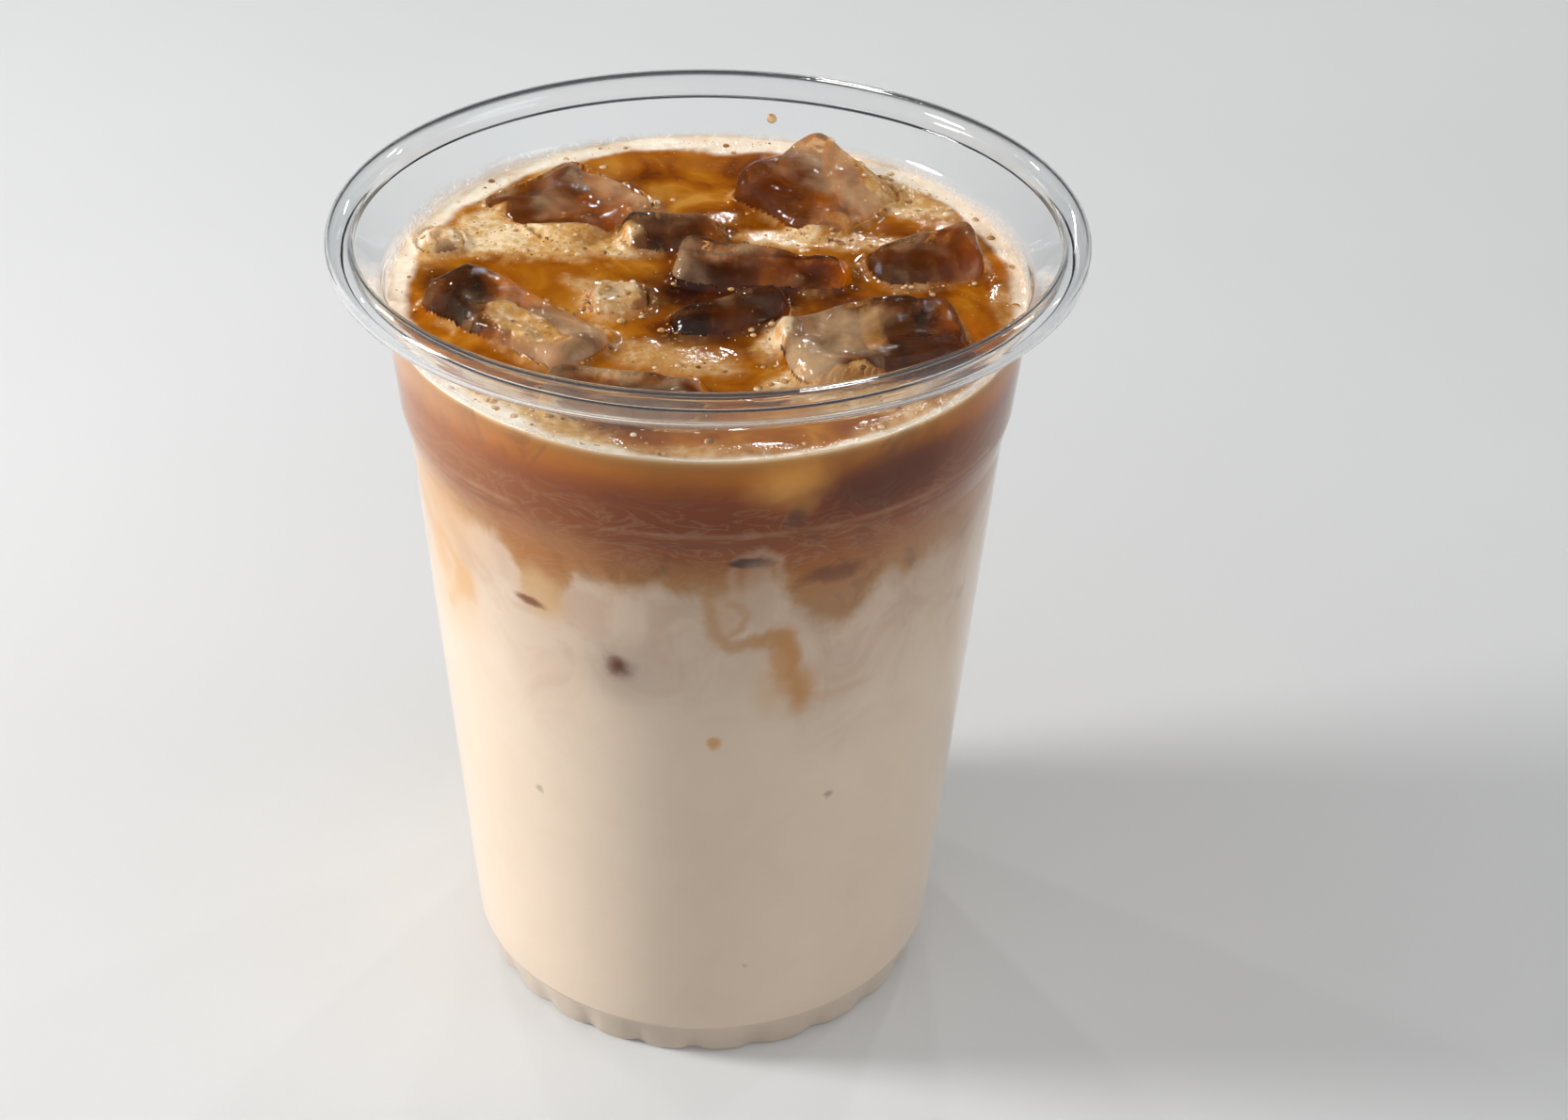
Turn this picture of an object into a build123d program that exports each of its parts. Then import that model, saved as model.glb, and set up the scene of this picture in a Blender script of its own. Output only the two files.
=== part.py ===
# Iced milk coffee in its clear disposable cup.
# Millimetres, +Z up, origin at the centre of the foot, on the surface it stands on.

import os
from math import atan, degrees

from build123d import *

# Cup: outside sizes of the formed plastic shell
cup_height = 117.0
wall = 0.5
rim_diameter = 98.0
bead_width = 3.6
bead_height = 4.2
bead_bend = 1.7  # of the bead's outside
flare_bend = 0.7  # of the inner face, where the flare turns up into the bead
flare_rise = 0.6  # from the bead's hidden underside up to that turn
curl_opening = 1.0
neck_radius = 42.3
neck_drop = 7.5  # from the rim's top down to where the neck starts to flare
shoulder_radius = 40.9
shoulder_rise = 4.5
body_radius = 39.9
body_height = 88.5
waist_radius = 34.25
foot_radius = 32.65
foot_height = 5.9
foot_step = 0.35
foot_ring = 2.6
base_rise = 2.0
heel_bend = 0.8  # of the inner face, like inner_bend
inner_bend = 0.15  # the sharpest bend that the inner face takes
soft_bend = 2.0

# Shallow flutes round the heel
flute_count = 24
flute_depth = 0.25
flute_height = 2.4
flute_radius = 6.0

# Drink: its layers from the bottom up
milk_depth = 82.0
coffee_depth = 18.0
foam_depth = 2.8  # at the front wall
foam_slope = 0.05  # the foam is piled thicker towards the back

# Ice: every block is drafted and rounded like this
ice_taper = 4.0
ice_corner = 3.0
ice_edge = 2.2
wall_gap = 0.3

milk_top = base_rise + milk_depth
coffee_top = milk_top + coffee_depth
neck_top = cup_height - neck_drop
drink_radius = neck_radius - wall


def foam_level(y):
    """Height of the foam's surface at a distance behind the cup's middle."""
    return coffee_top + foam_depth + foam_slope * (y + drink_radius)


def wall_corners():
    """Corners of the shell's outer face and their bends, from the axis up to the neck."""
    ring_inside = foot_radius - foot_ring
    return [
        ((0, base_rise), 0),
        ((ring_inside - base_rise / 2, base_rise), base_rise / 2),
        ((ring_inside, 0), inner_bend + wall),
        ((foot_radius, 0), heel_bend + wall),
        ((waist_radius - foot_step, foot_height), inner_bend),
        ((waist_radius, foot_height + foot_step), inner_bend + wall),
        ((body_radius, body_height), soft_bend),
        ((shoulder_radius, body_height + shoulder_rise), soft_bend),
        ((neck_radius, neck_top), soft_bend),
    ]


def rim_corners():
    """Corners of the rolled rim's hidden face: up the flare, over the bead and under it."""
    inside = rim_diameter / 2 - bead_width + wall
    outside = rim_diameter / 2 - wall
    top = cup_height - wall
    bottom = cup_height - bead_height + wall
    return [
        ((inside, bottom + flare_rise), flare_bend + wall),
        ((inside, top), bead_bend - wall),
        ((outside, top), bead_bend - wall),
        ((outside, bottom), bead_bend - wall),
        ((inside + curl_opening, bottom), 0),
    ]


def bent_line(corners):
    """One line through the corners, rounded at each by its bend."""
    points = [point for point, bend in corners]
    bends = [bend for point, bend in corners[1:-1]]
    return FilletPolyline(*points, radius=bends)


def room_inside(inset):
    """The shell's inside up to its mouth, drawn in from the outer face by the inset."""
    with BuildPart() as room:
        with BuildSketch(Plane.XZ):
            with BuildLine():
                bent_line(wall_corners() + rim_corners()[:2])
                inner_line = offset(amount=inset, side=Side.LEFT, closed=False)
                mouth = inner_line.vertices().sort_by(Axis.Y)[-1]
                Polyline((mouth.X, mouth.Y), (0, mouth.Y), (0, base_rise + inset))
            make_face()
        revolve(axis=Axis.Z)
    return room.part


def rounded_block(top, size):
    """A drafted block below its top plane, with every edge rounded."""
    length, width, depth = size
    with BuildPart() as block:
        with BuildSketch(top):
            RectangleRounded(length, width, ice_corner)
        extrude(amount=-depth, taper=ice_taper)
        ends = block.faces().sort_by(Axis(top.origin, top.z_dir))
        fillet(ends[-1].edges() + ends[0].edges(), ice_edge)
    return block.part


def ice_block(name, at, size, turn, lean, proud):
    """One block of ice. at: its place on the surface; lean: how its top's normal tips
    in X and Y; proud: how far its top's middle stands above the foam."""
    top = Plane(
        origin=(*at, foam_level(at[1]) + proud),
        x_dir=Vector(1, 0, 0).rotate(Axis.Z, turn),
        z_dir=(*lean, 1),
    )
    with BuildPart() as block:
        add(rounded_block(top, size))
        add(ice_room, mode=Mode.INTERSECT)
        for placed in ice_blocks:
            add(placed, mode=Mode.SUBTRACT)
    block.part.label = name
    ice_blocks.append(block.part)


def drink_layer(name, low, high):
    """The drink between two planes, cut round the ice."""
    with BuildPart() as layer:
        add(drink_room)
        split(bisect_by=high, keep=Keep.BOTTOM)
        if low:
            split(bisect_by=low, keep=Keep.TOP)
        for block in ice_blocks:
            add(block, mode=Mode.SUBTRACT)
    layer.part.label = name
    return layer.part


# The shell: one thin revolved wall from the pushed-up base to the rolled rim
with BuildPart() as cup:
    with BuildSketch(Plane.XZ):
        with BuildLine():
            bent_line(wall_corners() + rim_corners())
            offset(amount=wall, side=Side.LEFT)
        make_face()
    revolve(axis=Axis.Z)
    with BuildSketch():
        with PolarLocations(foot_radius + flute_radius - flute_depth, flute_count):
            Circle(flute_radius)
    foot_draft = degrees(atan((waist_radius - foot_step - foot_radius) / foot_height))
    extrude(amount=flute_height, taper=foot_draft, mode=Mode.SUBTRACT)
cup.part.label = "cup"

# The ice that breaks the surface
drink_room = room_inside(wall)
ice_room = room_inside(wall + wall_gap)
ice_blocks = []
ice_block("ice_back_left", (-18.8, 20.2), (18.5, 18.5, 16), 45, (0.0, -0.06), 1.0)
ice_block("ice_back_right", (15.2, 22.3), (18.5, 18.5, 15), 45, (0.03, -0.17), 1.5)
ice_block("ice_back_middle", (-4.6, 11.3), (14.0, 8.6, 15), 10, (0.06, -0.12), 1.9)
ice_block("ice_middle", (7.2, 1.4), (24.0, 8.4, 15), -4, (0.03, -0.22), 1.6)
ice_block("ice_right", (28.3, 3.8), (15.0, 10.5, 15), 12, (-0.20, -0.12), 1.9)
ice_block("ice_front_right", (20.8, -16.5), (24.0, 15.0, 17), 14, (-0.02, -0.05), 2.3)
ice_block("ice_front_middle", (2.8, -9.9), (16.5, 6.8, 14), 20, (0.0, -0.14), 1.8)
ice_block("ice_chip_middle", (-11.3, -5.6), (8.4, 8.4, 12), 10, (0.0, -0.10), 1.2)
ice_block("ice_left", (-24.2, -11.0), (26.4, 11.5, 15), -40, (0.06, 0.02), 2.0)
ice_block("ice_front_left", (-10.2, -28.9), (20.5, 9.6, 15), -6, (0.02, -0.06), 1.7)
ice_block("ice_chip_left", (-36.0, 9.6), (7.4, 7.4, 10), 20, (0.0, -0.06), 0.8)

# The drink's layers
milk_plane = Plane.XY.offset(milk_top)
coffee_plane = Plane.XY.offset(coffee_top)
foam_plane = Plane.XY.offset(foam_level(0)).rotated((degrees(atan(foam_slope)), 0, 0))
layers = [
    drink_layer("milk", None, milk_plane),
    drink_layer("coffee", milk_plane, coffee_plane),
    drink_layer("foam", coffee_plane, foam_plane),
]

os.makedirs("parts", exist_ok=True)
for part in [cup.part, *layers, *ice_blocks]:
    export_step(part, f"parts/{part.label}.step")
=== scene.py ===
from collections import Counter
from math import atan2, cos, degrees, pi, radians, sin, tan
import bpy
import numpy as np
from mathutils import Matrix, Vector, noise
from mathutils.bvhtree import BVHTree


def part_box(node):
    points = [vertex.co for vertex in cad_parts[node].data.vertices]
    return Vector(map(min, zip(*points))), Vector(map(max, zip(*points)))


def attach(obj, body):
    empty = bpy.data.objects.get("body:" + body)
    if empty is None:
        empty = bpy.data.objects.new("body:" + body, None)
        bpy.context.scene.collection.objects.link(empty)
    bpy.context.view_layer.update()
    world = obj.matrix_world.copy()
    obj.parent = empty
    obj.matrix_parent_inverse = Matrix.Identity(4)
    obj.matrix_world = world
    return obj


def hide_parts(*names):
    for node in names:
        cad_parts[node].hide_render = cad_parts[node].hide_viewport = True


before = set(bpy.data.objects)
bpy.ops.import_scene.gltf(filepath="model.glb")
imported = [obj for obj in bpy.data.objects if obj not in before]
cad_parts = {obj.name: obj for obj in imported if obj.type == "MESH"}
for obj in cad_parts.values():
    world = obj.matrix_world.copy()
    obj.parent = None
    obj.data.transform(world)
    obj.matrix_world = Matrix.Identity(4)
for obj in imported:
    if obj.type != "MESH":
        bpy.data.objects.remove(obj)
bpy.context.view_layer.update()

mm = 0.001
sharpAngle = 55                # degrees; an edge that bends more than this looks sharp
noiseSteps = (7.3, 3.1, 5.7)   # how far one seed lies from the next in the noise
print("frame loaded")


# small helpers
def newNode(tree, kind, inputs=None, **settings):
    # an input is a socket to link or a plain value; a colour of three numbers gets an alpha of one
    node = tree.nodes.new("ShaderNode" + kind)
    perRow, across, down = 7, 190, 260
    node.location = (len(tree.nodes) % perRow * across, -(len(tree.nodes) // perRow) * down)
    for key, value in settings.items():
        setattr(node, key, value)
    for key, value in (inputs or {}).items():
        socket = node.inputs[key]
        if isinstance(value, bpy.types.NodeSocket):
            tree.links.new(value, socket)
        elif socket.type == "RGBA" and len(value) == 3:
            socket.default_value = (*value, 1)
        else:
            socket.default_value = value
    return node


def maths(tree, operation, a, b=0.0, c=0.0):
    return newNode(tree, "Math", {0: a, 1: b, 2: c}, operation=operation).outputs[0]


def times(tree, a, b):
    return maths(tree, "MULTIPLY", a, b)


def timesPlus(tree, a, b, c):
    return maths(tree, "MULTIPLY_ADD", a, b, c)


def vectorMaths(tree, operation, a, b=(0, 0, 0)):
    node = newNode(tree, "VectorMath", {0: a, 1: b}, operation=operation)
    return node.outputs["Value" if operation in ("DOT_PRODUCT", "DISTANCE", "LENGTH") else "Vector"]


def scaledBy(tree, vector, factor):
    return newNode(tree, "VectorMath", {0: vector, "Scale": factor}, operation="SCALE").outputs[0]


def separated(tree, colour):
    return newNode(tree, "SeparateColor", {0: colour}).outputs


def blendRange(tree, value, low, high):
    node = newNode(tree, "MapRange", {"Value": value, "From Min": low, "From Max": high},
                   interpolation_type="SMOOTHSTEP")
    return node.outputs["Result"]


def colourMix(tree, share, a, b):
    # a colour mix takes its share and its two colours in these sockets
    return newNode(tree, "Mix", {0: share, 6: a, 7: b}, data_type="RGBA").outputs[2]


def laidOver(tree, under, share, strength, tone):
    return colourMix(tree, times(tree, share, strength), under, tone)


def noiseNode(tree, vector, scale, detail=2.0, roughness=0.5, distortion=0.0):
    return newNode(tree, "TexNoise", {
        "Vector": vector, "Scale": scale, "Detail": detail, "Roughness": roughness, "Distortion": distortion})


def noiseTexture(*settings):
    return noiseNode(*settings).outputs["Fac"]


def bumpFrom(tree, height, strength, distance):
    return newNode(tree, "Bump", {"Height": height, "Strength": strength, "Distance": distance}).outputs[0]


def colourRamp(tree, value, stops):
    node = newNode(tree, "ValToRGB", {"Fac": value})
    ramp = node.color_ramp
    for element, (place, colour) in zip(ramp.elements, (stops[0], stops[-1])):
        element.position, element.color = place, (*colour, 1)
    for place, colour in stops[1:-1]:
        ramp.elements.new(place).color = (*colour, 1)
    return node.outputs["Color"]


def newGroup(name, inputs, outputs):
    group = bpy.data.node_groups.new(name, "ShaderNodeTree")
    for way, sockets in (("INPUT", inputs), ("OUTPUT", outputs)):
        for label, kind in sockets:
            group.interface.new_socket(label, in_out=way, socket_type="NodeSocket" + kind)
    return group, group.nodes.new("NodeGroupInput").outputs, group.nodes.new("NodeGroupOutput").inputs


def newMaterial(name):
    material = bpy.data.materials.new(name)
    material.use_nodes = True
    tree = material.node_tree
    tree.nodes.clear()
    return material, tree, newNode(tree, "TexCoord").outputs["Object"]


def painted(tree, name):
    return newNode(tree, "VertexColor", layer_name=name).outputs["Color"]


def finishMaterial(material, inputs, lampTint=None):
    # with a tint, lamps shine straight through, so that what lies behind is lit
    tree = material.node_tree
    shader = newNode(tree, "BsdfPrincipled", inputs).outputs[0]
    if lampTint:
        through = newNode(tree, "BsdfTransparent", {"Color": lampTint}).outputs[0]
        ray = newNode(tree, "LightPath").outputs["Is Shadow Ray"]
        shader = newNode(tree, "MixShader", {0: ray, 1: shader, 2: through}).outputs[0]
    newNode(tree, "OutputMaterial", {"Surface": shader})
    return material


def paintPoints(piece, name, values):
    # one grey value or four colour values for each point
    if values.ndim == 1:
        values = np.repeat(values[:, None], 4, axis=1)
    layer = piece.data.color_attributes.new(name, "FLOAT_COLOR", "POINT")
    layer.data.foreach_set("color", values.astype(np.float32).ravel())


def addObject(name, data):
    thing = bpy.data.objects.new(name, data)
    bpy.context.scene.collection.objects.link(thing)
    return thing


def makePiece(name, points, faces, material, replaced=()):
    mesh = bpy.data.meshes.new(name)
    mesh.from_pydata([tuple(p) for p in np.asarray(points) * mm], [], faces)
    mesh.validate()
    mesh.shade_smooth()
    mesh.set_sharp_from_angle(angle=radians(sharpAngle))
    piece = addObject(name, mesh)
    mesh.materials.append(material)
    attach(piece, "root")
    if replaced:
        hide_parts(*replaced)
    return piece


def noiseAt(points, size, seed=0.0):
    shift = Vector([seed * step for step in noiseSteps])
    return np.array([noise.noise(Vector(p) / size + shift) for p in points])


def smooth(value, low, high):
    t = np.clip((value - low) / (high - low), 0, 1)
    return t * t * (3 - 2 * t)


# the cup's section
cupShape = dict(
    wall=0.5,
    height=(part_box("cup")[1].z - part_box("cup")[0].z) / mm,
    rimRadius=(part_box("cup")[1].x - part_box("cup")[0].x) / 2 / mm,
    beadWidth=3.6, beadHeight=4.2, beadBend=1.7, flareBend=0.7, flareRise=0.6, curlOpening=1.0,
    neckRadius=42.3, neckDrop=7.5, shoulderRadius=40.9, shoulderRise=4.5, bodyRadius=39.9, bodyHeight=88.5,
    waistRadius=34.25, footRadius=32.65, footHeight=5.9, footStep=0.35, footRing=2.6, baseRise=2.0,
    heelBend=0.8, innerBend=0.15, softBend=2.0, edgeRound=0.28,
    fluteCount=24, fluteDepth=0.75, fluteHeight=5.6, fluteSway=0.9,   # sway makes the flutes uneven
    drinkReach=0.45,   # the drink reaches this share of the wall into it, so that no air gap shows
    segments=260, arcSteps=7, lineStep=7.0,
)


def cupCorners(s):
    ringInside = s["footRadius"] - s["footRing"]
    inside = s["rimRadius"] - s["beadWidth"] + s["wall"]
    outside = s["rimRadius"] - s["wall"]
    top = s["height"] - s["wall"]
    bottom = s["height"] - s["beadHeight"] + s["wall"]
    hidden = s["beadBend"] - s["wall"]
    return [
        (0, s["baseRise"], 0),
        (ringInside - s["baseRise"] / 2, s["baseRise"], s["baseRise"] / 2),
        (ringInside, 0, s["innerBend"] + s["wall"]),
        (s["footRadius"], 0, s["heelBend"] + s["wall"]),
        (s["waistRadius"] - s["footStep"], s["footHeight"], s["innerBend"]),
        (s["waistRadius"], s["footHeight"] + s["footStep"], s["innerBend"] + s["wall"]),
        (s["bodyRadius"], s["bodyHeight"], s["softBend"]),
        (s["shoulderRadius"], s["bodyHeight"] + s["shoulderRise"], s["softBend"]),
        (s["neckRadius"], s["height"] - s["neckDrop"], s["softBend"]),
        (inside, bottom + s["flareRise"], s["flareBend"] + s["wall"]),
        (inside, top, hidden),
        (outside, top, hidden),
        (outside, bottom, hidden),
        (inside + s["curlOpening"], bottom, 0),
    ]


def bentLine(corners, arcSteps, lineStep):
    # a line through the corners, each rounded by its bend
    points = [np.array(c[:2], float) for c in corners]
    line = [points[0]]
    for i in range(1, len(points) - 1):
        back = (points[i - 1] - points[i]) / np.linalg.norm(points[i - 1] - points[i])
        ahead = (points[i + 1] - points[i]) / np.linalg.norm(points[i + 1] - points[i])
        half = np.arccos(np.clip(back @ ahead, -1, 1)) / 2
        reach = corners[i][2] / tan(half)
        centre = points[i] + (back + ahead) / np.linalg.norm(back + ahead) * corners[i][2] / sin(half)
        start, end = points[i] + back * reach - centre, points[i] + ahead * reach - centre
        a0 = atan2(start[1], start[0])
        turn = (atan2(end[1], end[0]) - a0 + pi) % (2 * pi) - pi
        turns = [a0 + turn * k / arcSteps for k in range(arcSteps + 1)]
        line += [centre + corners[i][2] * np.array([cos(a), sin(a)]) for a in turns]
    line.append(points[-1])
    filled = [line[0]]
    for p in line[1:]:
        parts = max(1, int(np.linalg.norm(p - filled[-1]) / lineStep))
        filled += [filled[-1] + (p - filled[-1]) * k / parts for k in range(1, parts + 1)]
    return np.array(filled)


def offsetLine(line, distance):
    # moved to the left of its direction, towards the cup's inside
    along = np.gradient(line, axis=0)
    along /= np.linalg.norm(along, axis=1)[:, None]
    return line + distance * np.stack([-along[:, 1], along[:, 0]], axis=1)


outerLine = bentLine(cupCorners(cupShape), cupShape["arcSteps"], cupShape["lineStep"])
innerLine = offsetLine(outerLine, cupShape["wall"])
drinkLine = offsetLine(outerLine, cupShape["wall"] * cupShape["drinkReach"])
for line in (innerLine, drinkLine):
    line[0, 0] = 0


def radiusOn(line, z):
    # the radius at a height, on the way up from the foot to the rim
    climb = line[np.argmax(line[:, 0] > cupShape["footRadius"] - 1):]
    climb = climb[:np.argmax(climb[:, 1])]
    return np.interp(z, climb[:, 1], climb[:, 0])


def drinkRadius(z):
    return radiusOn(drinkLine, z)


def joinRings(low, high):
    # faces between two rings of points, each given by its points' numbers
    return np.stack([low, np.roll(low, -1), np.roll(high, -1), high], 1).tolist()


def spin(section, segments, wave=None):
    # revolves a section that starts and ends on the axis or closes on itself
    points, faces, rings = [], [], []
    for r, z in section:
        if r < 1e-6:
            rings.append([len(points)] * segments)
            points.append((0, 0, z))
            continue
        rings.append(list(range(len(points), len(points) + segments)))
        for k in range(segments):
            a = 2 * pi * k / segments
            rr = r + (wave(a, z) if wave else 0)
            points.append((rr * cos(a), rr * sin(a), z))
    for low, high in zip(rings, rings[1:]):
        for k in range(segments):
            n = (k + 1) % segments
            face = [low[k], low[n], high[n], high[k]]
            face = [v for i, v in enumerate(face) if v not in face[:i]]
            if len(face) > 2:
                faces.append(face)
    return points, faces


# cup
print("cup")


def clearPlastic():
    # clear cup plastic with faint waviness from forming
    material, tree, where = newMaterial("clearPlastic")
    wave = noiseTexture(tree, where, 55.0, 2.0)
    streak = vectorMaths(tree, "MULTIPLY", where, (220.0, 220.0, 18.0))
    draw = noiseTexture(tree, streak, 1.0, 3.0)
    height = timesPlus(tree, draw, 0.25, wave)
    bump = bumpFrom(tree, height, 0.05, 0.002)
    tint = colourRamp(tree, wave, [(0.3, (0.955, 0.975, 0.985)), (0.7, (0.985, 0.99, 0.99))])
    return finishMaterial(material, {
        "Base Color": tint, "Roughness": 0.02, "IOR": 1.41, "Transmission Weight": 1.0, "Normal": bump},
        (0.9, 0.92, 0.93))


def footFlutes(a, z):
    # how far the wall goes in at an angle and height: narrow flutes that fade out upwards
    s = cupShape
    if z > s["fluteHeight"]:
        return 0.0
    ripple = 0.5 + 0.5 * cos(s["fluteCount"] * a + s["fluteSway"] * sin(3 * a))
    return -s["fluteDepth"] * ripple ** 3 * (0.5 + 0.5 * cos(pi * z / s["fluteHeight"]))


tip = 0.5 * (outerLine[-1] + innerLine[-1])
section = [*outerLine, tip - (cupShape["edgeRound"], 0), *innerLine[::-1]]
cupPoints, cupFaces = spin(section, cupShape["segments"], footFlutes)
makePiece("cupShell", cupPoints, cupFaces, clearPlastic(), ["cup"])


# the drink's size, and how it is coloured at its side
drink = dict(milkTop=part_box("milk")[1].z / mm, coffeeTop=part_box("coffee")[1].z / mm,
             foamTop=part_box("foam")[1].z / mm, slope=0.05, radius=41.8, fineSteps=240, coarseSteps=60)
sideColours = dict(
    milk=(0.875, 0.725, 0.58), milkShade=(0.855, 0.70, 0.55), milkStained=(0.66, 0.47, 0.34),
    # painted shade at the foot, and how strongly it is laid over the milk
    footShade=(0.60, 0.50, 0.415), footShare=0.35,
    # coffee mixed with milk at its lower edge, pale threads in it, and darker clouds
    fringe=(0.52, 0.27, 0.10), fringeShare=0.80, thread=(0.56, 0.32, 0.18), threadShare=0.30,
    dusk=(0.17, 0.055, 0.022), duskShare=0.45,
    # height of the coffee's lower edge, by angle from the front, in degrees and millimetres
    lowestEdge=60, highestEdge=100,
    edge=[(-180, 84), (-150, 88), (-120, 82), (-95, 86), (-80, 88), (-66, 87), (-60, 86), (-50, 86),
          (-43, 87), (-38, 83), (-35, 79.5), (-28, 80), (-24, 84.5), (-10, 84.8), (0, 85), (5, 85),
          (11, 86.5), (15, 83.5), (20, 79.5), (27, 77), (31, 80), (36, 83), (43, 81), (47, 83), (58, 81),
          (68, 84), (90, 87), (120, 83), (150, 86), (180, 84)],
    # height of each tone, measured at the front
    tones=[(76, (0.68, 0.43, 0.20)), (82, (0.57, 0.29, 0.105)), (86, (0.49, 0.19, 0.048)),
           (90, (0.38, 0.105, 0.018)), (95, (0.28, 0.060, 0.008)), (98.4, (0.34, 0.066, 0.004)),
           (100.0, (0.48, 0.115, 0.003)), (101.3, (0.60, 0.18, 0.005)), (102.4, (0.62, 0.205, 0.012)),
           (103.6, (0.54, 0.21, 0.028)), (104.3, (0.60, 0.29, 0.08)), (104.7, (0.84, 0.56, 0.30)),
           (104.9, (0.95, 0.78, 0.54)), (105.2, (0.95, 0.78, 0.54))],
    # angle, height, half width in degrees, half height in mm, softness, strength, colour
    spots=[
        (-62, 97, 32, 8, 0.9, 0.6, (0.48, 0.21, 0.08)),
        (-62, 84, 14, 6, 0.9, 0.75, (0.72, 0.43, 0.20)),
        (60, 85, 20, 8, 0.9, 0.55, (0.55, 0.38, 0.28)),
        (-70, 103, 26, 3, 0.6, 0.5, (0.62, 0.38, 0.22)),
        (34, 98.5, 15, 4.2, 0.6, 0.8, (0.11, 0.018, 0.002)),
        (60, 96, 16, 6, 0.8, 0.5, (0.30, 0.12, 0.06)),
        (-8, 99.5, 26, 2.6, 0.7, 0.35, (0.20, 0.050, 0.015)),
        (14, 100.8, 5.5, 2.8, 0.85, 0.7, (0.98, 0.50, 0.10)),
        (-30, 89, 14, 2.6, 0.8, 0.5, (0.56, 0.26, 0.09)),
        (16, 97.2, 2.6, 1.6, 0.5, 0.6, (0.55, 0.24, 0.05)),
        (15, 95.4, 1.6, 1.4, 0.6, 0.6, (0.12, 0.05, 0.03)),
        (-32, 79.6, 5.2, 3.6, 0.5, 0.85, (0.72, 0.47, 0.24)),
        (-34.5, 78.0, 3.2, 0.8, 0.5, 0.9, (0.24, 0.07, 0.02)),
        (7.5, 89.0, 3.8, 0.8, 0.4, 0.9, (0.07, 0.015, 0.005)),
        (9.5, 84.0, 3.6, 4.8, 0.45, 0.6, (0.66, 0.46, 0.33)),
        (3.2, 81.0, 2.6, 4.0, 0.8, 0.45, (0.64, 0.40, 0.22)),
        (24, 85.6, 5.4, 1.3, 0.55, 0.7, (0.20, 0.06, 0.028)),
        (24, 80.5, 6.0, 3.6, 0.7, 0.45, (0.46, 0.25, 0.14)),
        (15.0, 73.0, 2.6, 5.0, 0.5, 0.8, (0.66, 0.33, 0.11)),
        (12.4, 76.4, 3.6, 1.2, 0.5, 0.7, (0.62, 0.33, 0.12)),
        (18.4, 67.5, 2.8, 3.8, 0.6, 0.8, (0.66, 0.34, 0.12)),
        (12.6, 68.5, 3.0, 4.0, 0.8, 0.4, (0.72, 0.46, 0.22)),
        (27, 65.8, 6.5, 0.8, 0.8, 0.4, (0.66, 0.42, 0.24)),
        (-63, 75.5, 3.4, 3.6, 0.7, 0.7, (0.72, 0.40, 0.16)),
        (-53.5, 74.6, 3.8, 2.8, 0.7, 0.75, (0.74, 0.42, 0.17)),
        (-60, 70.5, 9.0, 5.6, 0.9, 0.5, (0.80, 0.56, 0.30)),
        (-15.2, 70.8, 6.4, 4.2, 0.98, 0.42, (0.46, 0.36, 0.29)),
        (-16.4, 71.5, 2.3, 1.5, 0.9, 0.95, (0.15, 0.045, 0.014)),
        (2.0, 60.2, 1.1, 1.1, 0.6, 0.8, (0.70, 0.34, 0.08)),
        (-37, 45.6, 0.8, 0.5, 0.7, 0.5, (0.34, 0.25, 0.18)),
        (27.2, 47.8, 1.0, 0.5, 0.7, 0.6, (0.30, 0.21, 0.15)),
        (61, 70, 1.8, 1.2, 0.9, 0.4, (0.45, 0.36, 0.30)),
        (9.5, 18, 0.5, 0.4, 0.7, 0.4, (0.42, 0.33, 0.26)),
    ],
    # thin curls of drink: places along them as (angle, height), half width in mm, softness, strength, colour
    trails=[
        ([(4.9, 84.6), (4.4, 87.2), (6.0, 89.6), (9.6, 90.6), (12.9, 89.4), (13.8, 86.4), (12.6, 82.6),
          (11.6, 78.6)], 0.65, 0.95, 0.36, (0.78, 0.60, 0.44)),
        ([(0.3, 84.8), (0.9, 81.2), (1.7, 78.1), (4.7, 75.8), (9.0, 76.2), (12.0, 77.6), (15.0, 76.8),
          (16.2, 74.3), (16.6, 70.4), (18.3, 66.4)], 0.85, 0.9, 0.70, (0.58, 0.31, 0.12)),
        ([(4.0, 82.8), (6.3, 82.2), (7.6, 80.6), (6.9, 78.6), (5.0, 78.0)],
         0.6, 0.9, 0.60, (0.58, 0.31, 0.12)),
        ([(-72, 82), (-66, 78.5), (-60, 78.6), (-55, 76.5), (-56, 72.5), (-61, 68)],
         1.0, 0.9, 0.60, (0.70, 0.42, 0.17)),
    ],
    degreeLength=0.68,   # mm along the wall for one degree
    # painted highlight over painted shade where the cup's shoulder bends, a pale line over a dark one:
    # height, half height, colour, strength
    shoulder=[(93.7, 0.7, (0.62, 0.40, 0.26), 0.30), (92.2, 0.7, (0.16, 0.06, 0.035), 0.35)],
)


def smoothRamp(tree, value, low, high, stops):
    # colours along a measured range; a ramp holds at most thirty-two of them
    spot = newNode(tree, "MapRange", {"Value": value, "From Min": low, "From Max": high})
    placed = [((at - low) / (high - low), colour) for at, colour in stops]
    return colourRamp(tree, spot.outputs["Result"], placed)


def trailGap(tree, place, points):
    # how far a place is from a bent line, in millimetres
    nearest = None
    stretch = sideColours["degreeLength"]
    for (a, h), (b, j) in zip(points, points[1:]):
        run = np.array(((b - a) * stretch, j - h, 0))
        offset = vectorMaths(tree, "ADD", place, (-a * stretch, -h, 0))
        along = vectorMaths(tree, "DOT_PRODUCT", offset, tuple(run / (run @ run)))
        along = maths(tree, "MINIMUM", maths(tree, "MAXIMUM", along, 0.0), 1.0)
        spot = scaledBy(tree, tuple(run), along)
        away = vectorMaths(tree, "DISTANCE", offset, spot)
        nearest = away if nearest is None else maths(tree, "MINIMUM", nearest, away)
    return nearest


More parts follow.
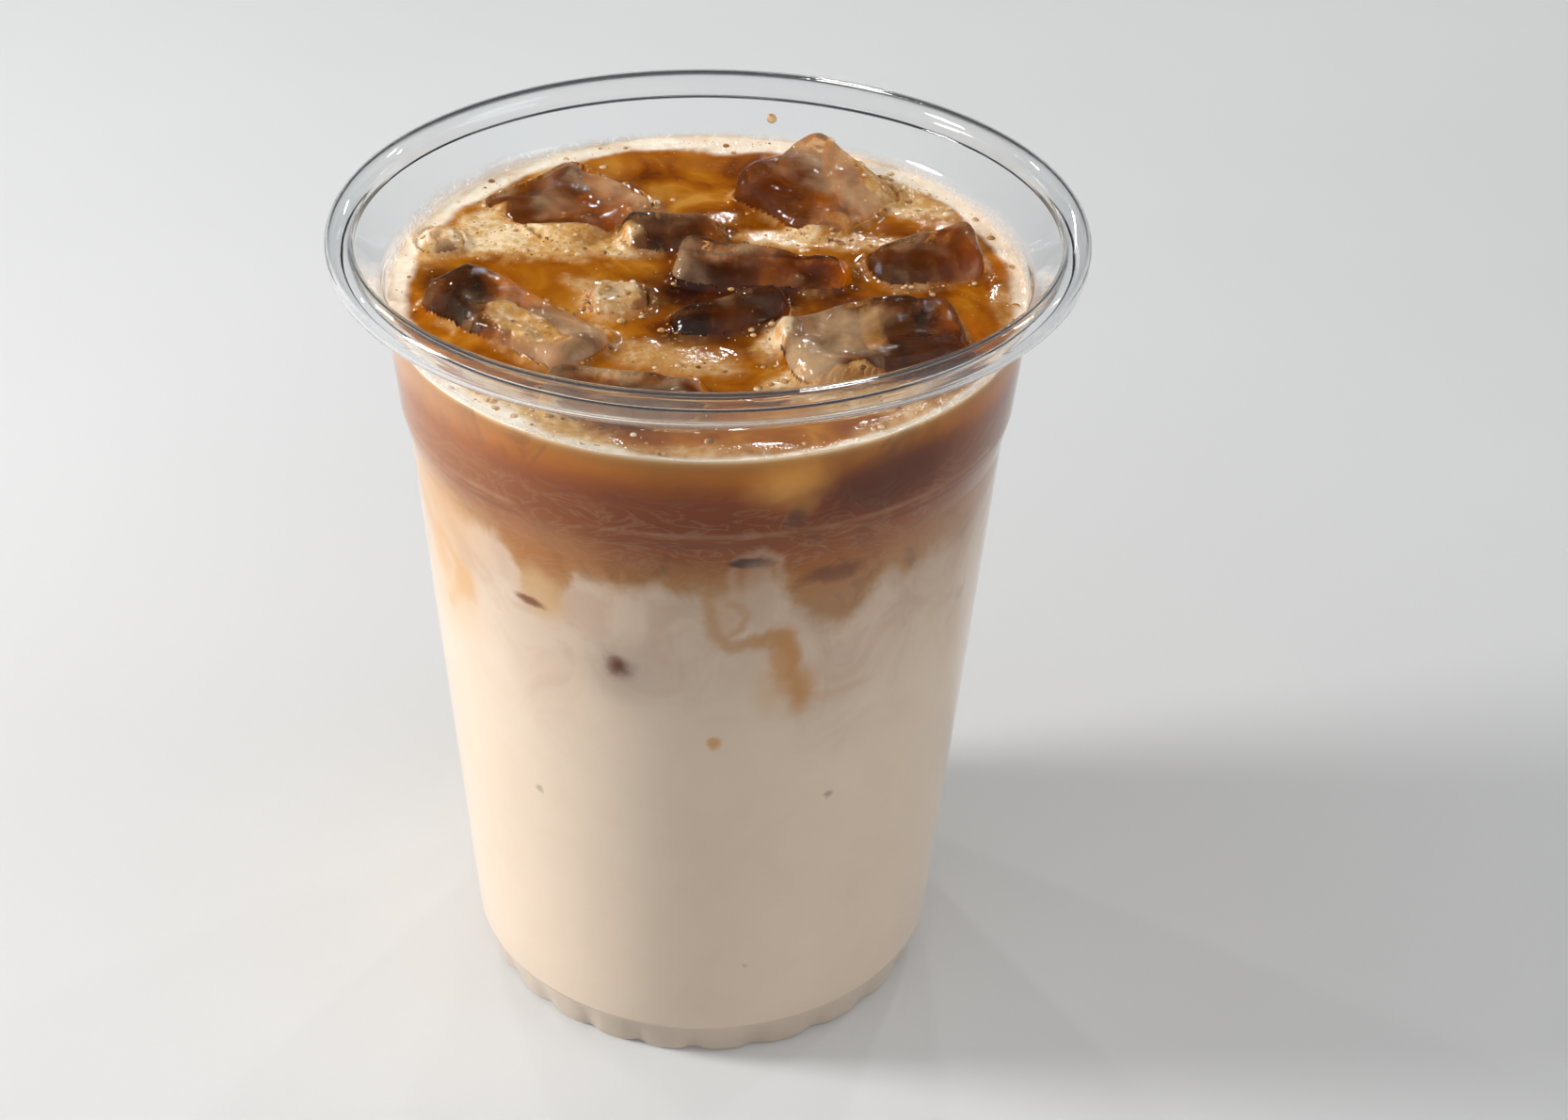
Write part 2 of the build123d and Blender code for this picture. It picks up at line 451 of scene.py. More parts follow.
def sideGroup():
    # colour and fine relief at any place on the drink's side; its height is taken along the tilted surface
    s = sideColours
    group, given, made = newGroup(
        "drinkSide", [("Place", "Vector")], [("Colour", "Color"), ("Bump", "Float")])
    where = scaledBy(group, given["Place"], 1 / mm)
    x, y, z = newNode(group, "SeparateXYZ", {0: where}).outputs
    angle = maths(group, "ARCTAN2", x, times(group, y, -1.0))
    angle = times(group, angle, degrees(1))
    slope = drink["slope"]
    level = maths(group, "SUBTRACT", z, timesPlus(group, y, slope, slope * drink["radius"]))
    broad = separated(group, noiseNode(group, where, 0.055, 3.0, 0.55).outputs["Color"])
    fine = separated(group, noiseNode(group, where, 0.24, 4.0, 0.6, 0.6).outputs["Color"])

    def stirred(value, first, second, channel):
        # a value moved up and down by broad and by fine noise
        moved = timesPlus(group, broad[channel], first, value)
        moved = timesPlus(group, fine[channel], second, moved)
        return maths(group, "SUBTRACT", moved, (first + second) / 2)

    # the ragged edge between coffee and milk
    angleStirred = stirred(angle, 5.0, 7.0, 0)
    heightStirred = stirred(level, 3.0, 5.0, 1)
    low, span = s["lowestEdge"], s["highestEdge"] - s["lowestEdge"]
    edge = smoothRamp(group, angleStirred, -180, 180, [(a, ((h - low) / span,) * 3) for a, h in s["edge"]])
    edge = timesPlus(group, edge, span, low)
    over = maths(group, "SUBTRACT", heightStirred, edge)
    coffeeShare = blendRange(group, over, -2.2, 1.6)
    haze = blendRange(group, over, -30.0, -2.0)

    # milk, stained below the coffee, with painted shade at the foot
    cloud = noiseTexture(group, where, 0.09, 3.0, 0.6, 1.2)
    milk = colourMix(group, blendRange(group, cloud, 0.25, 0.8), s["milk"], s["milkShade"])
    wisp = timesPlus(group, blendRange(group, cloud, 0.40, 0.66), 0.40, 0.42)
    milk = laidOver(group, milk, wisp, haze, s["milkStained"])
    atFoot = blendRange(group, z, cupShape["footHeight"] + 0.7, cupShape["footHeight"] - 0.9)
    milk = laidOver(group, milk, atFoot, s["footShare"], s["footShade"])

    # coffee, darker with height up to the amber edge and the foam
    toneHeight = stirred(level, 2.0, 2.4, 2)
    toneHeight = maths(group, "SUBTRACT", toneHeight, level)
    toneHeight = timesPlus(group, toneHeight, blendRange(group, level, 104.5, 98.0), level)
    top = stirred(level, 1.0, 1.2, 0)
    toneHeight = maths(group, "MINIMUM", toneHeight, maths(group, "MAXIMUM", top, level))
    coffee = smoothRamp(group, toneHeight, s["tones"][0][0], s["tones"][-1][0], s["tones"])
    coffee = laidOver(group, coffee, blendRange(group, over, 5.0, 0.0), s["fringeShare"], s["fringe"])
    squeezed = vectorMaths(group, "MULTIPLY", where, (1.0, 1.0, 2.2))
    streak = noiseTexture(group, squeezed, 0.10, 4.0, 0.55, 2.5)
    thread = maths(group, "ABSOLUTE", maths(group, "SUBTRACT", streak, 0.5))
    thread = times(group, blendRange(group, thread, 0.05, 0.0), blendRange(group, level, 101.5, 96.0))
    coffee = laidOver(group, coffee, thread, s["threadShare"], s["thread"])
    dusk = blendRange(group, noiseTexture(group, where, 0.16, 4.0, 0.6, 1.0), 0.5, 0.72)
    coffee = laidOver(group, coffee, dusk, s["duskShare"], s["dusk"])
    colour = colourMix(group, coffeeShare, milk, coffee)

    # soft drops, drips and things floating near the wall
    flat = newNode(group, "CombineXYZ", {0: stirred(angle, 2.0, 4.0, 2), 1: stirred(level, 1.0, 2.6, 0)})
    measured = vectorMaths(group, "MULTIPLY", flat.outputs[0], (s["degreeLength"], 1.0, 0.0))
    for points, wide, soft, strength, tone in s["trails"]:
        gap = trailGap(group, measured, points)
        share = blendRange(group, gap, wide * (1 + soft), wide * (1 - soft))
        colour = laidOver(group, colour, share, strength, tone)
    for at, high, wide, tall, soft, strength, tone in s["spots"]:
        gap = vectorMaths(group, "ADD", flat.outputs[0], (-at, -high, 0))
        gap = vectorMaths(group, "LENGTH", vectorMaths(group, "MULTIPLY", gap, (1 / wide, 1 / tall, 0)))
        colour = laidOver(group, colour, blendRange(group, gap, 1 + soft, 1 - soft), strength, tone)
    # painted highlight and painted shade along the cup's shoulder, broken by noise
    broken = blendRange(group, noiseTexture(group, where, 0.12, 2.0), 0.3, 0.6)
    for high, tall, tone, strength in s["shoulder"]:
        line = blendRange(group, maths(group, "ABSOLUTE", maths(group, "SUBTRACT", z, high)), tall, 0.0)
        colour = laidOver(group, colour, times(group, line, broken), strength, tone)
    group.links.new(colour, made["Colour"])
    group.links.new(cloud, made["Bump"])
    return group


sideLook = sideGroup()


def drinkMaterial(name, rough):
    # the drink lies against the plastic, so it has hardly any shine of its own
    material, tree, where = newMaterial(name)
    side = newNode(tree, "Group", {"Place": where}, node_tree=sideLook).outputs
    bump = bumpFrom(tree, side["Bump"], 0.02, 0.002)
    return finishMaterial(material, {
        "Base Color": side["Colour"], "Roughness": rough, "Specular IOR Level": 0.05, "Normal": bump})


# milk
print("milk")


def level(y):
    # the drink's tilted surface, highest at the back
    return drink["foamTop"] - drink["slope"] * (drink["radius"] - y)


def discGrid(steps):
    # a square grid eased into a disc of radius one, and its edge in order
    u, v = np.meshgrid(np.linspace(-1, 1, steps + 1), np.linspace(-1, 1, steps + 1))
    wide = np.abs(u) > np.abs(v)
    with np.errstate(divide="ignore", invalid="ignore"):
        turn = np.where(wide, pi / 4 * v / u, pi / 2 - pi / 4 * u / v)
    turn = np.nan_to_num(turn)
    reach = np.where(wide, u, v)
    k = np.arange(steps)
    line = steps + 1
    edge = np.concatenate([k * line + steps, steps * line + steps - k, (steps - k) * line, k])
    cells = (np.arange(steps)[:, None] * line + np.arange(steps)[None, :]).ravel()
    faces = np.stack([cells, cells + 1, cells + 1 + line, cells + line], 1)
    return (reach * np.cos(turn)).ravel(), (reach * np.sin(turn)).ravel(), edge, faces


segments = 4 * drink["coarseSteps"]
bowl = drinkLine[:np.argmax(drinkLine[:, 1] > drink["milkTop"])]
bowl = np.vstack([bowl, [(drinkRadius(drink["milkTop"]), drink["milkTop"]), (0, drink["milkTop"])]])
milkPoints, milkFaces = spin(bowl, segments, footFlutes)
makePiece("milkBody", milkPoints, milkFaces, drinkMaterial("milkLook", 0.6), ["milk"])


# ice
print("ice")
ice = dict(
    grain=0.00045,   # metres
    bulge=0.75, bulgeSize=8.0, dent=0.60, dentSize=5.2, pore=0.02, poreSize=0.9, rise=0.35, wallGap=0.42,
    fullSize=12,     # a narrower piece is bent less
    clearShare=0.985, deep=(0.72, 0.40, 0.12), tint=(0.94, 0.77, 0.46),
    frostGap=0.02, frostThickness=0.03, frostCover=0.29,
    frost=(1.0, 0.66, 0.36), frostShade=(0.88, 0.53, 0.27),
    # towards x, towards y, height gained there, height lost on the other side, hollow in the top, in mm;
    # then the haze share, and the haze gained towards x and y
    forms={
        "back_left": (0.0, 1.0, 0.6, 0.6, 0.5, 0.42, 0.5, 0.6),
        "back_right": (-0.75, 0.65, 2.6, 0.8, 0.2, 0.60, 1.4, 0.5),
        "back_middle": (-0.7, 0.5, 0.8, 1.0, 0.7, 0.42, 0.2, 0.5),
        "middle": (-0.35, 0.9, 1.8, 1.6, 0.3, 0.28, -0.5, 0.5),
        "right": (0.2, 1.0, 1.8, 1.2, 0.3, 0.42, 0.3, 0.5),
        "front_right": (-0.1, 0.8, 0.8, 0.8, 0.4, 0.36, -1.5, 0.2),
        "front_middle": (-0.3, 0.9, 1.8, 1.3, 0.8, 0.20, 0.0, 0.7),
        "chip_middle": (0.2, 1.0, 1.0, 0.5, 0.6, 0.45, 0.0, 0.3),
        "left": (-0.5, 0.8, 1.0, 1.0, 0.4, 0.42, 1.3, -0.5),
        "front_left": (0.0, 0.9, 0.6, 0.6, 0.4, 0.54, -0.2, 0.0),
        "chip_left": (0.0, 1.0, 0.5, 0.3, 0.4, 0.80, 0.0, 0.0),
    },
)


def rippleGroup():
    # the fine ripples that melting leaves on ice
    group, given, made = newGroup("meltRipple", [("Place", "Vector")], [("Height", "Float")])
    group.links.new(noiseTexture(group, given["Place"], 420.0, 2.0), made["Height"])
    return group


def iceLook():
    # melting ice, clear and wet, with the dark drink showing through
    material, tree, where = newMaterial("wetIce")
    broad = noiseTexture(tree, where, 150.0, 2.0, 0.5, 0.5)
    fine = noiseTexture(tree, where, 900.0, 3.0)
    tone = colourRamp(tree, broad, [(0.38, ice["deep"]), (0.62, ice["tint"])])
    ripple = newNode(tree, "Group", {"Place": where}, node_tree=meltRipple).outputs["Height"]
    height = timesPlus(tree, fine, 0.20, broad)
    height = timesPlus(tree, ripple, 0.60, height)
    bump = bumpFrom(tree, height, 0.5, 0.001)
    return finishMaterial(material, {
        "Base Color": tone, "Roughness": 0.015, "IOR": 1.33, "Transmission Weight": ice["clearShare"],
        "Normal": bump}, (0.93, 0.88, 0.82))


def frostLook():
    # a milky skin over parts of the ice
    material, tree, where = newMaterial("iceFrost")
    cloud = noiseTexture(tree, where, 130.0, 3.0, 0.5, 0.8)
    speck = noiseTexture(tree, where, 1300.0, 2.0)
    mask = painted(tree, "Haze")
    share = maths(tree, "SUBTRACT", timesPlus(tree, cloud, 2.0, mask), 1.0)
    share = times(tree, blendRange(tree, share, 0.15, 1.25), ice["frostCover"])
    share = times(tree, share, timesPlus(tree, speck, 0.8, 0.6))
    tone = colourMix(tree, blendRange(tree, cloud, 0.35, 0.65), ice["frostShade"], ice["frost"])
    ripple = newNode(tree, "Group", {"Place": where}, node_tree=meltRipple).outputs["Height"]
    bump = bumpFrom(tree, ripple, 0.4, 0.0006)
    return finishMaterial(material, {
        "Base Color": tone, "Roughness": 0.06, "IOR": 1.33, "Alpha": share, "Normal": bump})


def thinSkin(points, facing, faces, kept):
    # a closed thin skin over the kept part of a surface, less the faces where its edge would cross itself
    faces = [face for face in faces if all(kept[v] for v in face)]
    while True:
        sides = {side for face in faces for side in zip(face, face[1:] + face[:1])}
        border = [(a, b) for a, b in sides if (b, a) not in sides]
        seen = Counter(a for a, b in border)
        crossed = {a for a in seen if seen[a] > 1}
        if not crossed:
            break
        faces = [face for face in faces if not crossed & set(face)]
    used = sorted({v for face in faces for v in face})
    place = {v: i for i, v in enumerate(used)}
    count = len(used)
    outer = points[used] + (ice["frostGap"] + ice["frostThickness"]) * facing[used]
    inner = points[used] + ice["frostGap"] * facing[used]
    skin = [tuple(place[v] for v in face) for face in faces]
    skin += [tuple(place[v] + count for v in face[::-1]) for face in faces]
    skin += [(place[b], place[a], place[a] + count, place[b] + count) for a, b in sorted(border)]
    return np.vstack([outer, inner]), skin, used


meltRipple = rippleGroup()
wetIce = iceLook()
frostPoints, frostFaces, frostHaze = [], [], []
iceTrees = []
for index, node in enumerate(sorted(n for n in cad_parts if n.startswith("ice"))):
    rough = addObject("rough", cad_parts[node].data.copy())
    grain = rough.modifiers.new("grain", "REMESH")
    grain.mode, grain.voxel_size = "VOXEL", ice["grain"]
    soften = rough.modifiers.new("soften", "SMOOTH")
    soften.iterations, soften.factor = 6, 0.5
    shaped = bpy.data.meshes.new_from_object(rough.evaluated_get(bpy.context.evaluated_depsgraph_get()))
    bpy.data.objects.remove(rough)
    spots = np.array([v.co[:] for v in shaped.vertices]) / mm
    normals = np.array([v.normal[:] for v in shaped.vertices])
    push = ice["bulge"] * noiseAt(spots, ice["bulgeSize"], index + 1)
    push -= ice["dent"] * np.clip(noiseAt(spots, ice["dentSize"], index + 21) - 0.05, 0, 1) * 2
    push += ice["pore"] * noiseAt(spots, ice["poreSize"], index + 41)
    small = min(1.0, min((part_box(node)[1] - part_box(node)[0])[:2]) / mm / ice["fullSize"])
    spots += normals * (push * small)[:, None]
    towardX, towardY, peak, dip, hollow, hazeShare, hazeX, hazeY = ice["forms"][node.replace("ice_", "")]
    middle, halfSize = (spots.max(0) + spots.min(0)) / 2, (spots.max(0) - spots.min(0)) / 2
    lean = (spots - middle) / halfSize
    proud = np.clip(spots[:, 2] - level(spots[:, 1]) + 0.5, 0, None)   # how far out of the drink
    climb = np.clip(0.5 + 0.5 * (lean[:, 0] * towardX + lean[:, 1] * towardY), 0, 1.3)
    crown = np.clip(proud, 0, 1)
    spots[:, 2] += ice["rise"] * proud + crown * (peak * climb - dip * (1 - climb))
    spots[:, 2] -= crown * hollow * np.exp(-2.5 * (lean[:, 0] ** 2 + lean[:, 1] ** 2))
    haze = np.clip(hazeShare + 0.5 * (lean[:, 0] * hazeX + lean[:, 1] * hazeY), 0, 1)
    reach = np.hypot(spots[:, 0], spots[:, 1])
    limit = drinkRadius(spots[:, 2]) - ice["wallGap"]
    spots[:, :2] *= np.minimum(1, limit / np.maximum(reach, 1e-6))[:, None]
    iceFaces = [tuple(p.vertices) for p in shaped.polygons]
    bpy.data.meshes.remove(shaped)
    block = makePiece(node.replace("ice_", "iceBlock_"), spots, iceFaces, wetIce, [node])
    facing = np.array([v.normal[:] for v in block.data.vertices])
    shift = sum(len(p) for p in frostPoints)
    skinPoints, skinFaces, used = thinSkin(spots, facing, iceFaces, proud > 0.05)
    frostPoints.append(skinPoints)
    frostFaces += [tuple(v + shift for v in face) for face in skinFaces]
    frostHaze.append(np.tile((haze * smooth(proud, 0.0, 0.8))[used], 2))
    iceTrees.append((BVHTree.FromPolygons([tuple(p) for p in spots], iceFaces), spots.min(0), spots.max(0)))

frostPiece = makePiece("iceFrost", np.vstack(frostPoints), frostFaces, frostLook())
paintPoints(frostPiece, "Haze", np.concatenate(frostHaze))

# the drink's surface
print("the drink's surface")
surface = dict(
    pitDepth=3.6, pitSlope=1.6, probeDepth=1.8, ripple=0.30, rippleSize=9.0, meniscus=0.9, meniscusReach=1.5,
    wallRise=0.15, wallReach=1.4, froth=0.025, frothSize=0.9, lumps=0.12, lumpSize=4.0, foamDepth=0.14,
    foamOverIce=0.11, sideLip=0.5, foamThickness=1.6,
    patchReach=1.6,   # a patch has faded out at this many times its half size
    # x, y, half length, half width, turn in degrees, strength: foam lying on the drink or over the ice
    foam=[(-24, 10.3, 12, 4.0, -4, 1.0), (-14.5, 10, 4.2, 3.2, -20, 0.9), (-31, 14, 5.5, 3.0, 50, 0.8),
          (-11.5, -5.5, 4.4, 4.6, 0, 0.62), (-22.5, -14.8, 7.6, 3.0, -42, 0.78),
          (-38, 7.5, 3.0, 5.0, 0, 0.6), (25, 25, 4.0, 9.5, 38, 0.85), (14, 11.6, 9.5, 2.4, -6, 0.95),
          (18.5, -27.2, 7.0, 3.4, 8, 1.0), (9, -14.5, 2.2, 4.5, -25, 0.7), (9.5, -24.5, 3.4, 1.8, 20, 0.65),
          (-22, -33.5, 14, 4.4, -36, 0.95), (2, -39.5, 12, 2.0, 0, 0.45), (25, -32, 12, 2.6, 38, 0.55),
          (38.5, -6, 2.0, 9, 0, 0.45), (34, 13, 3.0, 5.0, 20, 0.5), (-4, -19, 8.0, 3.6, -10, 0.62),
          (-8, 20, 3.0, 2.0, 0, 0.5), (1.5, 17, 2.6, 2.2, 0, 0.5), (-16, -1.0, 3.5, 2.0, -30, 0.5)],
    # angle from the front, ring width in mm: the pale foam ring along the wall
    ring=[(-180, 4.6), (-150, 3.4), (-120, 3.0), (-90, 3.2), (-60, 2.6), (-35, 2.4), (-10, 1.0), (10, 0.8),
          (30, 1.2), (55, 1.3), (90, 2.4), (120, 3.2), (150, 3.8), (180, 4.6)],
    # painted highlights for light caught under the ice, laid in with the foam's colour: x, y, half length,
    # half width, turn in degrees, strength
    glow=[(21, -10, 1.2, 3.6, 12, 1.0), (20, 20, 4.0, 1.6, -20, 0.7), (-20, 16, 5.0, 1.4, -10, 0.6),
          (31, 4, 1.2, 3.0, 10, 0.7)],
    # x, y, half length, half width, turn in degrees, strength: deep, dark pools
    deep=[(3.5, -2.5, 12, 5.6, -4, 1.0), (-4, 11, 7, 4.5, 0, 0.9), (2.5, -11, 7.5, 3.6, 18, 0.9),
          (27.5, -16, 5, 8, 10, 1.0), (-33, -1.5, 6, 3.0, -40, 0.9), (7.5, -28, 3.5, 2.0, 10, 0.9),
          (27, 4, 7, 4.5, 12, 0.75), (11, 20, 6, 5, 40, 0.55), (-20, 22, 10, 7, 10, 0.35),
          (-11, -30, 10, 5, -6, 0.5), (17, -13, 9, 6, 14, 0.45)],
)


def patchShare(patches, jitter):
    # how strongly a list of ellipses with uneven edges covers each place
    shares = []
    for px, py, long, wide, turn, strength in patches:
        c, s = cos(radians(turn)), sin(radians(turn))
        dx, dy = (x - px) * c + (y - py) * s, (y - py) * c - (x - px) * s
        away = np.sqrt((dx / long) ** 2 + (dy / wide) ** 2) + jitter
        shares.append(np.clip(surface["patchReach"] - away, 0, 1) * strength)
    return np.max(shares, axis=0)


def iceGap(x, y, z):
    # how far each place at the surface is from the ice (inside counts below zero), and the ice's height there
    gap = np.full(len(x), 99.0)
    top = np.full(len(x), -99.0)
    around = 2.5   # no place further from a piece's box is measured
    for tree, low, high in iceTrees:
        nearX = (x > low[0] - around) & (x < high[0] + around)
        nearY = (y > low[1] - around) & (y < high[1] + around)
        for i in np.nonzero(nearX & nearY)[0]:
            place = Vector((x[i], y[i], z[i] - surface["probeDepth"]))
            spot, normal, _, away = tree.find_nearest(place, 12.0)
            if spot is None:
                continue
            if (place - spot).dot(normal) < 0:
                away = -away
            gap[i] = min(gap[i], away)
            if away < 0.5:
                above = Vector((x[i], y[i], cupShape["height"]))
                hit = tree.ray_cast(above, Vector((0, 0, -1)))[0]
                if hit is not None:
                    top[i] = max(top[i], hit.z)
    return gap, top


s = surface
ux, uy, fineEdge, fineCells = discGrid(drink["fineSteps"])
wallRadius = drinkRadius(level(uy * drink["radius"]))
x, y = ux * wallRadius, uy * wallRadius
flat = np.stack([x, y, np.zeros(len(x))], 1)
base = level(y)
wallGap = wallRadius * (1 - np.hypot(ux, uy))
gap, iceTop = iceGap(x, y, base)
broad = noiseAt(flat, s["rippleSize"], 3)
lumps = noiseAt(flat, s["lumpSize"], 5)
froth = noiseAt(flat, s["frothSize"], 9)
wavy = 0.35 * noiseAt(flat, 4.0, 11) + 0.14 * noiseAt(flat, 1.6, 13)
jitter = wavy + 0.16 * noiseAt(flat, 1.6, 14) + 0.16 * noiseAt(flat, 0.7, 15)
foamShare = patchShare(s["foam"], jitter)
foamLift = patchShare(s["foam"], wavy)
angles = np.degrees(np.arctan2(x, -y))
ringWidth = np.interp(angles, *zip(*s["ring"])) * (1 + 0.5 * noiseAt(flat, 7.0, 17))
ringShare = smooth(ringWidth - wallGap + jitter * 1.2, -0.6, 0.8)
deepShare = patchShare(s["deep"], jitter * 0.7)
underIce = smooth(-gap, 0.0, 1.0) * (0.25 + 0.75 * smooth(noiseAt(flat, 6.0, 23), -0.30, 0.20))
underIce *= 0.5 + 0.5 * smooth(-y, -16.0, 2.0)
deepShare = np.maximum(deepShare, underIce)

height = base + s["ripple"] * broad
height += s["meniscus"] * np.clip(1 - np.abs(gap) / s["meniscusReach"], 0, 1) ** 2 * (gap > 0)
height += s["wallRise"] * np.clip(1 - wallGap / s["wallReach"], 0, 1) ** 2
pit = smooth(-gap * s["pitSlope"] / s["pitDepth"], 0, 1) * (s["pitDepth"] + 1.2 * lumps)
over = smooth(foamLift, 0.18, 0.60)
pit *= (1 - over) * smooth(iceTop - base, -0.6, 0.4)
foamToneAndGlow = smooth(foamShare, 0.12, 0.92) * np.where(gap < 0, smooth(foamLift, 0.40, 0.62), 1)
height -= pit
# painted highlight: light caught under the ice is laid into the foam mask as bright foam colour
glow = patchShare(s["glow"], jitter * 0.5) * (gap < 0)
foamToneAndGlow = np.maximum(foamToneAndGlow, smooth(glow, 0.1, 0.9))
iceLine = np.clip(1.5 - np.abs(gap - 0.1), 0, 1) * (gap > -0.3)
iceLine *= smooth(noiseAt(flat, 5.0, 19) + jitter, -0.15, 0.35)
foamToneAndGlow = np.maximum(foamToneAndGlow, 0.45 * iceLine * (1 - deepShare))
frothy = np.maximum(over, ringShare * 0.8)
mound = base + s["foamDepth"] + s["ripple"] * broad
mound = np.maximum(mound, np.where(gap < 0, iceTop + s["foamOverIce"], 0))
mound += s["lumps"] * lumps
height += over * np.maximum(mound - height, 0)
height += s["froth"] * froth * frothy
rim = np.zeros(len(x), bool)
rim[fineEdge] = True
height[rim] = (base + s["wallRise"] + s["ripple"] * broad)[rim]

# the top is finely divided and the underside coarsely, and they meet below the edge
fine, coarse = drink["fineSteps"], drink["coarseSteps"]
ratio = fine // coarse
topPoints = np.stack([x, y, height], 1)
edgeHeight = height[fineEdge]


def edgeRing(z):
    a = np.arctan2(uy[fineEdge], ux[fineEdge])
    r = drinkRadius(z)
    return np.stack([r * np.cos(a), r * np.sin(a), z], 1)


topPoints[fineEdge] = edgeRing(edgeHeight)
cx, cy, coarseEdge, coarseCells = discGrid(coarse)
underTop = height.reshape(fine + 1, fine + 1)[::ratio, ::ratio].ravel()
underHeight = np.minimum(drink["coffeeTop"], underTop - s["foamThickness"])
underRadius = drinkRadius(np.full(len(cx), drink["coffeeTop"])) - 0.001
underPoints = np.stack([cx * underRadius, cy * underRadius, underHeight], 1)
underPoints[coarseEdge, 2] = drink["coffeeTop"]
count = len(fineEdge)
lowEdge = edgeRing(np.full(count, drink["coffeeTop"] + 0.3))
layers = [topPoints, edgeRing(edgeHeight - s["sideLip"]), lowEdge, underPoints]
starts = np.cumsum([0] + [len(p) for p in layers])
lip, low = [start + np.arange(count) for start in starts[1:3]]
faces = fineCells.tolist() + joinRings(lip, fineEdge) + joinRings(low, lip)
for c in range(len(coarseEdge)):
    above = [low[(ratio * (c + 1) - i) % count] for i in range(ratio + 1)]
    faces.append([starts[3] + coarseEdge[c], starts[3] + coarseEdge[(c + 1) % len(coarseEdge)], *above])
faces += (starts[3] + coarseCells[:, ::-1]).tolist()


def topMaterial():
    # amber drink with dark pools, foam with open bubbles, a ring of cream along the wall, and painted
    # highlights under the ice in the foam's colour
    material, tree, where = newMaterial("foamLook")
    scaled = scaledBy(tree, where, 1 / mm)
    foamyAndGlow, ring, deep = separated(tree, painted(tree, "Masks"))
    swirl = noiseTexture(tree, scaled, 0.11, 3.0, 0.55, 0.7)
    mottle = noiseTexture(tree, scaled, 0.8, 3.0, 0.6)
    amber = colourRamp(tree, swirl, [(0.30, (0.16, 0.032, 0.001)), (0.45, (0.32, 0.082, 0.001)),
                                     (0.58, (0.44, 0.140, 0.004)), (0.70, (0.60, 0.26, 0.035))])
    dark = colourRamp(tree, swirl, [(0.35, (0.025, 0.004, 0.001)), (0.65, (0.10, 0.020, 0.001))])
    liquid = colourMix(tree, deep, amber, dark)
    cells = newNode(tree, "TexVoronoi", {"Vector": scaled, "Scale": 0.95, "Randomness": 1.0})
    small = newNode(tree, "TexVoronoi", {"Vector": scaled, "Scale": 2.6, "Randomness": 1.0})
    patchy = timesPlus(tree, swirl, 0.6, times(tree, mottle, 0.4))
    foam = colourRamp(tree, patchy, [(0.36, (0.50, 0.21, 0.03)), (0.50, (0.70, 0.40, 0.14)),
                                     (0.62, (0.93, 0.71, 0.44))])
    hole = blendRange(tree, cells.outputs["Distance"], 0.26, 0.12)
    hole = times(tree, hole, blendRange(tree, swirl, 0.46, 0.56))
    foam = laidOver(tree, foam, hole, 0.55, (0.22, 0.065, 0.010))
    cream = colourRamp(tree, patchy, [(0.36, (0.84, 0.62, 0.42)), (0.62, (0.97, 0.85, 0.68))])
    liquid = laidOver(tree, liquid, blendRange(tree, mottle, 0.60, 0.74), 0.22, (0.62, 0.34, 0.12))
    colour = colourMix(tree, foamyAndGlow, liquid, foam)
    colour = colourMix(tree, ring, colour, cream)
    frothy = maths(tree, "MAXIMUM", foamyAndGlow, ring)
    froth = maths(tree, "ADD", small.outputs["Distance"], times(tree, cells.outputs["Distance"], 0.8))
    raised = times(tree, froth, timesPlus(tree, frothy, 0.95, 0.05))
    bump = bumpFrom(tree, raised, 0.10, 0.0005)
    rough = timesPlus(tree, frothy, 0.09, 0.035)
    return finishMaterial(material, {"Base Color": colour, "Roughness": rough, "IOR": 1.34, "Normal": bump})


foamPiece = makePiece("foamSurface", np.vstack(layers), faces, topMaterial(), ["foam"])
foamPiece.data.materials.append(drinkMaterial("foamSideLook", 0.5))
isSide = np.arange(len(foamPiece.data.polygons)) >= len(fineCells)
foamPiece.data.polygons.foreach_set("material_index", isSide.astype(np.int32))
masks = np.zeros((starts[-1], 4))
masks[:len(x), :3] = np.stack([foamToneAndGlow, ringShare, deepShare], 1)
paintPoints(foamPiece, "Masks", masks)

# coffee below the foam, with the same hollows under the ice
print("coffee")
turns = np.arange(segments) * 2 * pi / segments - pi / 4
heights = np.linspace(drink["milkTop"], drink["coffeeTop"], 9)[-2::-1]
rings = [np.stack([np.cos(turns) * drinkRadius(z), np.sin(turns) * drinkRadius(z), np.full(segments, z)], 1)
         for z in heights]
coffeeLayers = [underPoints, *rings, np.array([[0, 0, drink["milkTop"]]])]
coffeeStarts = np.cumsum([0] + [len(p) for p in coffeeLayers])
coffeeFaces = coarseCells.tolist()
upper = coarseEdge
for start in coffeeStarts[1:-2]:
    lower = start + np.arange(segments)
    coffeeFaces += joinRings(lower, upper)
    upper = lower
coffeeFaces += [(coffeeStarts[-2], upper[(i + 1) % segments], upper[i]) for i in range(segments)]
coffeeLook = drinkMaterial("coffeeLook", 0.5)
makePiece("coffeeBody", np.vstack(coffeeLayers), coffeeFaces, coffeeLook, ["coffee"])

# bubbles
print("bubbles")
bubble = dict(count=1300, small=0.10, large=0.60, mostlySmall=5, rows=5, sides=10, sunk=0.4, around=0.62)


def bubbleLook():
    # thin wet skins, some clear to the dark drink and some white with froth
    material, tree, where = newMaterial("bubbleSkin")
    tone = colourRamp(tree, noiseTexture(tree, where, 420.0, 2.0),
                      [(0.36, (0.20, 0.065, 0.010)), (0.48, (0.60, 0.31, 0.10)), (0.62, (0.95, 0.74, 0.48))])
    return finishMaterial(material, {
        "Base Color": tone, "Roughness": 0.05, "IOR": 1.36, "Coat Weight": 0.6, "Coat Roughness": 0.03})


